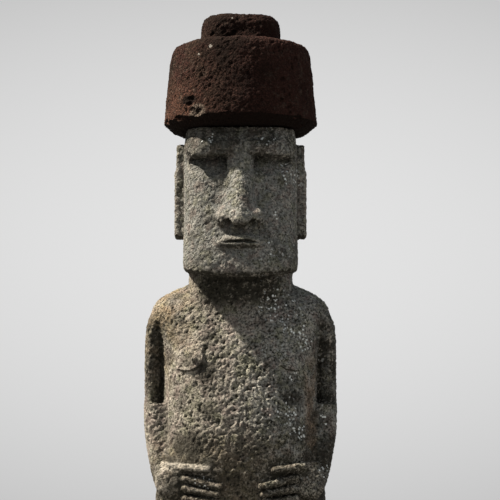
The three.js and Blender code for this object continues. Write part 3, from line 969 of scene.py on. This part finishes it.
# where dark stains lie, seen from the front: X, height above the ground, reach, strength
stains = [
    (-0.33, 1.90, 0.14, 0.85),
    (-0.52, 2.02, 0.10, 0.60),
    (-0.31, 1.52, 0.14, 0.70),
    (-0.48, 1.16, 0.24, 0.90),
    (-0.30, 1.02, 0.12, 0.80),
    (-0.66, 1.02, 0.10, 0.80),
    (0.84, 1.10, 0.28, 0.80),
    (0.78, 1.45, 0.14, 0.70),
    (-0.72, 2.05, 0.12, 0.60),
    (-0.66, 2.30, 0.22, 0.45),
    (0.10, 1.20, 0.24, 0.60),
    (0.60, 1.30, 0.18, 0.60),
    # this one, along the lower edge of the figure's left breast, is painted shade
    (0.50, 1.64, 0.14, 0.80),
    (0.58, 1.80, 0.11, 0.50),
    (0.72, 1.95, 0.09, 0.45),
    (-0.45, 2.95, 0.12, 0.40),
]
# where lichen grows in specks: X, height above the ground, reach
lichenSpots = [
    (0.36, 2.55, 0.20),
    (0.52, 2.40, 0.16),
    (0.62, 2.20, 0.10),
    (0.55, 1.83, 0.07),
    (0.46, 1.52, 0.15),
    (0.56, 1.32, 0.11),
    (0.84, 1.45, 0.07),
    (0.84, 0.95, 0.10),
    (-0.33, 4.22, 0.08),
    (0.28, 4.24, 0.12),
    (0.46, 3.85, 0.15),
    (0.40, 3.45, 0.08),
    (0.30, 3.10, 0.08),
    (-0.36, 0.82, 0.10),
]


def stainsOn(place, inFront):
    ragged = place.noise(7.0, 4.0, 0.6) - 0.5
    stain = place.noise(4.7, 5.0, 0.6).step(0.50, 0.68) * 0.6
    for x, z, reach, strength in stains:
        away = fromLine(place, x, z) + ragged * reach * 1.4
        stain = stain.larger(away.step(reach, reach * 0.4) * inFront * strength)
    return stain


def lichenOn(place):
    x, y, _ = place.parts()
    ragged = place.noise(6.0, 3.0) - 0.5
    specks = place.cells(29.0).step(0.37, 0.29) * place.noise(11.0, 3.0).step(0.47, 0.53)
    grown = place.noise(2.6, 3.0).step(0.56, 0.62) * x.step(-0.05, 0.25) * 0.4
    for spotX, spotZ, reach in lichenSpots:
        away = fromLine(place, spotX, spotZ) + ragged * reach
        grown = grown.larger(away.step(reach, reach * 0.8))
    return specks * grown * y.step(0.1, 0.0)


# the bare stone: warmer on the figure's right, where the key falls, and greyer towards its left, a painted
# shade tint for the side in the key's shade; greyer on the face too
def bareTuff(place, hollow, finish, toLeftInShade, onFace, inFront):
    look = tuffLook
    x, _, z = place.parts()
    base = mixed(place.noise(2.3, 4.0).step(0.44, 0.70), look["warm"], look["drab"])
    base = mixed((toLeftInShade * 0.75).larger(onFace * 0.85), base, look["grey"])
    # paler on convex edges: partly worn edges, partly a painted highlight that shows the relief in shade
    base = mixed(hollow.step(0.46, 0.34) * 0.45, base, look["pale"])
    tint = place.noise(7.0, 5.0, 0.65)
    base = mixed(tint.step(0.51, 0.62) * 0.60, base, look["olive"])
    base = mixed(tint.step(0.49, 0.38) * 0.70, base, look["mauve"])
    blotch = place.noise(13.0, 5.0, 0.65).step(0.46, 0.72)
    base = mixed(blotch * (0.7 - toLeftInShade.larger(onFace) * 0.25), base, look["pale"])
    grime = (1 - finish) * x.step(0.0, -0.3) * (0.10 + 0.15 * abs(x).step(0.80, 0.70))
    base = mixed(grime.larger((1 - inFront) * 0.32), base, look["darkest"])
    shoulder = x.step(-0.30, -0.75) * z.step(1.6, 2.3) * z.step(3.1, 2.7)
    base = mixed(shoulder * place.noise(3.4, 4.0, 0.6).step(0.38, 0.60) * 0.55, base, look["ochre"])
    # a lighter, clay-coloured strip down the shaded left flank: partly the stone's warm colour, partly
    # painted light where that flank catches light
    litFlankStrip = x.step(0.60, 0.68) * x.step(0.78, 0.72) * z.step(2.2, 1.9) * z.step(0.9, 1.1)
    return mixed(litFlankStrip * place.noise(6.0, 3.0).step(0.30, 0.55) * 0.8, base, look["clay"])


# dark growth low on the belly and over the hands, darker patches down the upper arms; painted shade under the
# chin, in every hollow, between the fingers and on faces that look down
def grownOver(base, place, stain, hollow, toLeftInShade, onFace, inFront):
    look = tuffLook
    x, y, z = place.parts()
    aside = abs(x)
    lowBelly = z.step(1.45, 1.05) * (place.noise(5.0, 4.0, 0.6) - aside * 0.20).step(0.22, 0.46)
    base = mixed(lowBelly * inFront * 0.7, base, look["umber"])

    patches = 0.50 + 0.42 * place.noise(6.0, 4.0, 0.6).step(0.42, 0.60)
    arms = aside.step(0.70, 0.80) * aside.step(0.975, 0.94) * z.step(2.6, 2.4) * z.step(1.50, 1.65)
    thumb = abs(z + x * 0.10 - 0.902).step(0.060, 0.035)      # a painted highlight along the top of the figure's right thumb
    thumb = thumb * x.step(-0.80, -0.76) * x.step(-0.27, -0.32) * y.step(-0.10, -0.30)
    # the hands are stained dark, and darker still in the hollows between the fingers as painted shade
    handStainAndGapShade = z.step(1.10, 0.95) * aside.step(0.10, 0.30) * (0.52 + 0.43 * hollow.step(0.47, 0.53))
    # painted shade on the neck under the chin
    shadeUnderChin = z.step(2.45, 2.65) * z.step(2.90, 2.84) * aside.step(0.52, 0.30) * y.step(-0.20, -0.32)
    dark = stain.larger(arms * patches).larger(handStainAndGapShade * inFront * (1 - thumb)).larger(shadeUnderChin * 0.95)
    base = mixed(dark, base, look["darkest"])

    streaks = place.stretched((1.0, 1.0, 0.16)).noise(17.0, 4.0, 0.6).step(0.62, 0.44)
    base = mixed(z.step(3.95, 4.15) * streaks * 0.75, base, look["darkest"])
    # painted shade in every hollow, less of it on the face
    shadeInHollows = (hollow + place.noise(11.0, 3.0) * 0.1).step(0.60, 0.76)
    base = mixed(shadeInHollows * (0.9 - onFace * 0.35), base, look["darkest"])
    base = mixed(onFace * (0.25 + 0.25 * toLeftInShade.step(0.5, 0.0)), base, look["darkest"])
    # the pale band along the thumb's top is a painted highlight
    base = mixed(thumb * 0.5, base, look["pale"])
    # painted shade on faces that look down
    return mixed(lookingDown(place, -0.65, -0.25) * 0.94, base, look["darkest"])


def tuffMaterial():
    material, place = newMaterial("tuff")
    look = tuffLook
    worn, hollow, finish = (
        place.node("ShaderNodeAttribute", dict(attribute_name=name), output="Fac")
        for name in ("worn", "hollow", "finish")
    )
    x, y, z = place.parts()
    # the figure's left, which the key leaves in shade
    toLeftInShade = x.step(-0.25, 0.45)
    inFront = y.step(0.25, -0.05)
    onFace = finish * z.step(2.7, 2.9)
    onHands = finish * z.step(1.3, 1.1)
    stain = stainsOn(place, inFront)
    base = bareTuff(place, hollow, finish, toLeftInShade, onFace, inFront)
    base = grownOver(base, place, stain, hollow, toLeftInShade, onFace, inFront)

    # painted highlights on the crests and painted shade in the pits and worn-down hollows, which tell most
    # where the light is flat
    grain = place.noise(44.0, 6.0, 0.75)
    litCrests = worn.step(0.20, 0.0) * grain.step(0.46, 0.60) * (0.28 + 0.34 * toLeftInShade) * (1 - stain * 0.7)
    base = mixed(litCrests * inFront, base, look["pale"])
    shadedPits = grain.step(0.56, 0.38) * (0.70 + 0.25 * toLeftInShade - onFace * 0.15)
    base = mixed(shadedPits * (0.35 + 0.65 * inFront), base, look["darkest"])
    base = mixed(worn.step(0.24, 0.62) * (0.45 + 0.4 * inFront), base, look["darkest"])
    # dark pinholes on the face, the hands and in patches: painted shade in the small pits that the bump sets
    # in
    pinholes = place.noise(7.0, 3.0).step(0.44, 0.52).larger(onHands).larger(onFace * 0.6)
    pinholes = pinholes * place.cells(32.0).step(0.26, 0.18)
    base = mixed(pinholes * 0.85, base, look["darkest"])
    base = mixed(lichenOn(place), base, look["lichen"])

    # fine scales with sharp edges lie over the coarser relief of the mesh
    scales = slanted(place, 14.0, 3.0).blocks(19.0).step(0.30, 0.50)
    height = grain * look["grain"] - scales * look["scales"] - pinholes * look["pinholes"]
    finishStone(base, 0.88 + grain * 0.1, height)
    return material


scoriaLook = dict(
    maroon=colour(0.060, 0.026, 0.020),
    brown=colour(0.064, 0.037, 0.025),
    rust=colour(0.168, 0.080, 0.053),
    dark=colour(0.010, 0.006, 0.0045),
    tan=colour(0.150, 0.115, 0.088),
    broken=colour(0.230, 0.180, 0.140),
    fleck=colour(0.300, 0.275, 0.240),
    grain=0.020, rubble=0.007,      # heights in the bump
    roughness=0.92,
    gloss=0.06,
)
# the middles of the fresh break in the rim and of the cavity over it
freshBreak = (-0.430, -0.65, 4.450)
cavity = (-0.505, -0.58, 4.585)
# pale flecks: X, height above the ground, reach
flecks = [
    (-0.297, 5.115, 0.018),
    (-0.414, 5.044, 0.012),
    (-0.083, 5.450, 0.010),
]


def scoriaMaterial():
    material, place = newMaterial("red_scoria")
    look = scoriaLook
    worn = place.node("ShaderNodeAttribute", dict(attribute_name="worn"), output="Fac")
    x, y, z = place.parts()
    # the figure's left, which the key leaves in shade
    toLeftInShade = x.step(0.10, 0.40)

    # lighter brown and rust on the side the key lights, painted light over the stone's maroon; a darker crust
    # in patches, and painted shade round to the middle, where the key's light dies away
    keyLitBrown = x.step(0.15, -0.45) * place.noise(6.0, 4.0, 0.6).step(0.34, 0.62)
    base = mixed(keyLitBrown, look["maroon"], look["brown"])
    crust = place.noise(3.0, 5.0, 0.6).step(0.44, 0.70) * (0.8 - toLeftInShade * 0.4)
    base = mixed(crust, base, look["dark"])
    # painted shade where the key's light dies away across the middle
    base = mixed(x.step(-0.52, -0.25) * x.step(0.25, 0.0) * 0.30, base, look["dark"])
    litRust = place.noise(4.2, 5.0, 0.65).step(0.36, 0.60) * x.step(-0.1, -0.7) * z.step(5.0, 4.5)
    base = mixed(litRust * 0.8, base, look["rust"])
    dusty = (z.step(4.9, 5.25) * 0.4).larger(x.step(-0.1, -0.6) * 0.5).larger(toLeftInShade * 0.40)
    base = mixed(dusty * place.noise(16.0, 4.0, 0.7).step(0.52, 0.66), base, look["tan"])

    ragged = (place.noise(16.0, 3.0) - 0.5) * 0.10
    fromBreak = fromPoint(place, freshBreak).span() + ragged
    base = mixed(fromBreak.step(0.105, 0.080) * 0.9, base, look["broken"])
    # painted shade in the deep, overhung cavity
    fromCavity = fromPoint(place, cavity).stretched((1.0, 1.0, 2.0)).span() + ragged
    base = mixed(fromCavity.step(0.100, 0.080) * 0.95, base, look["dark"])
    base = mixed(z.step(5.20, 5.32) * 0.32, base, look["dark"])
    # painted shade in the worn-down hollows
    base = mixed(worn.step(0.30, 0.75) * 0.6, base, look["dark"])
    grain = place.noise(62.0, 5.0, 0.75)
    base = mixed(grain.step(0.60, 0.46) * (0.85 - toLeftInShade * 0.25), base, look["dark"])
    for fleckX, fleckZ, reach in flecks:
        away = fromLine(place, fleckX, fleckZ) + (grain - 0.5) * reach * 2.5
        base = mixed(away.step(reach, reach * 0.6) * y.step(-0.1, -0.2), base, look["fleck"])
    # painted shade on the topknot's underside
    base = mixed(lookingDown(place, -0.5, -0.15) * 0.98, base, look["dark"])

    rubble = 1 - place.cells(45.0).step(0.1, 0.8)
    height = grain * look["grain"] + rubble * look["rubble"]
    finishStone(base, look["roughness"], height, gloss=look["gloss"])
    return material


slabLook = dict(
    dark=colour(0.13, 0.122, 0.110),
    light=colour(0.20, 0.186, 0.160),
    darkest=colour(0.05, 0.046, 0.040),
    roughness=0.9,
    bumpStrength=0.8, bumpDistance=0.015,
)


def slabMaterial():
    material, place = newMaterial("slab_stone")
    look = slabLook
    base = mixed(place.noise(3.5, 5.0, 0.6).step(0.35, 0.68), look["dark"], look["light"])
    base = mixed(place.noise(22.0, 4.0, 0.7).step(0.52, 0.72) * 0.6, base, look["darkest"])
    height = place.noise(40.0, 5.0, 0.7)
    finishStone(base, look["roughness"], height, look["bumpStrength"], look["bumpDistance"])
    return material


linePitch = math.atan2(frontView["aimRise"], -frontView["eye"][1])       # how far up the camera looks


def addCamera():
    data = bpy.data.cameras.new("front_view")
    data.lens = frontView["lens"]
    data.sensor_width = frontView["sensor"]
    data.clip_end = frontView["farthest"]
    camera = bpy.data.objects.new("front_view", data)
    camera.location = frontView["eye"]
    camera.rotation_euler = (math.pi / 2 + linePitch, 0, 0)
    bpy.context.scene.collection.objects.link(camera)
    bpy.context.scene.camera = camera


def addKey():
    data = bpy.data.lights.new("key", "SUN")
    data.energy = lighting["keyStrength"]
    data.angle = math.radians(lighting["keyAngle"])
    data.color = lighting["keyColour"]
    key = bpy.data.objects.new("key", data)
    fromOverhead = math.radians(90 - lighting["keyElevation"])
    key.rotation_euler = (fromOverhead, 0, math.radians(lighting["keyAzimuth"]))
    bpy.context.scene.collection.objects.link(key)


# the backdrop is pale and brightest straight ahead; the light it gives is the dimmer, bluer sky
def addSky():
    world = bpy.data.worlds.new("studio")
    bpy.context.scene.world = world
    world.use_nodes = True
    world.node_tree.nodes.clear()
    start = Wire(world.node_tree)
    direction = start.node("ShaderNodeTexCoord", output="Generated")
    across, _, up = direction.parts()
    lifted = direction.dot((0.0, -math.sin(linePitch), math.cos(linePitch)))
    fadeAside, fadeUpward = lighting["backdropFade"]
    shade = lighting["backdrop"] - across * across * fadeAside - lifted * lifted * fadeUpward
    shade = shade.larger(lighting["backdropLeast"])
    seen = start.node("ShaderNodeCombineColor", Red=shade, Green=shade, Blue=shade)
    fromAbove = lighting["skyBelow"] + (1 - lighting["skyBelow"]) * up.step(-0.4, 0.9)
    red, green, blue = (fromAbove * lighting["skyStrength"] * value for value in lighting["skyColour"])
    lit = start.node("ShaderNodeCombineColor", Red=red, Green=green, Blue=blue)
    toCamera = start.node("ShaderNodeLightPath", output="Is Camera Ray")
    background = start.node("ShaderNodeBackground", Color=mixed(toCamera, lit, seen))
    start.node("ShaderNodeOutputWorld", Surface=background)


def addFloor():
    bpy.ops.mesh.primitive_plane_add(size=lighting["floorSize"])
    floor = bpy.context.active_object
    floor.name = "floor"
    material, place = newMaterial("floor")
    darker, lighter = (colour(shade, shade, shade) for shade in lighting["floorShades"])
    tint = mixed(place.noise(0.8, 3.0), darker, lighter)
    finishStone(tint, 0.8, place.noise(30.0, 2.0), 0.1, 0.002)
    floor.data.materials.append(material)


bpy.context.scene.view_settings.view_transform = "Standard"
addCamera()
addKey()
addSky()
addFloor()
print("camera, light and floor are in place")

weathering = weatheringTree()
for node, settings, build, makeMaterial, slotName in (
    ("moai_figure", figure, buildFigure, tuffMaterial, "tuff"),
    ("pukao_topknot", topknot, buildTopknot, scoriaMaterial, "red_scoria"),
    ("base_slab", slab, buildSlab, slabMaterial, "slab_stone"),
):
    piece = build(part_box(node)[0].z)
    print(piece.name, "is carved:", len(piece.data.polygons), "quads")
    weather(piece, weathering, makeMaterial(), node, settings)
    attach(piece, "root")
    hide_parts(node)
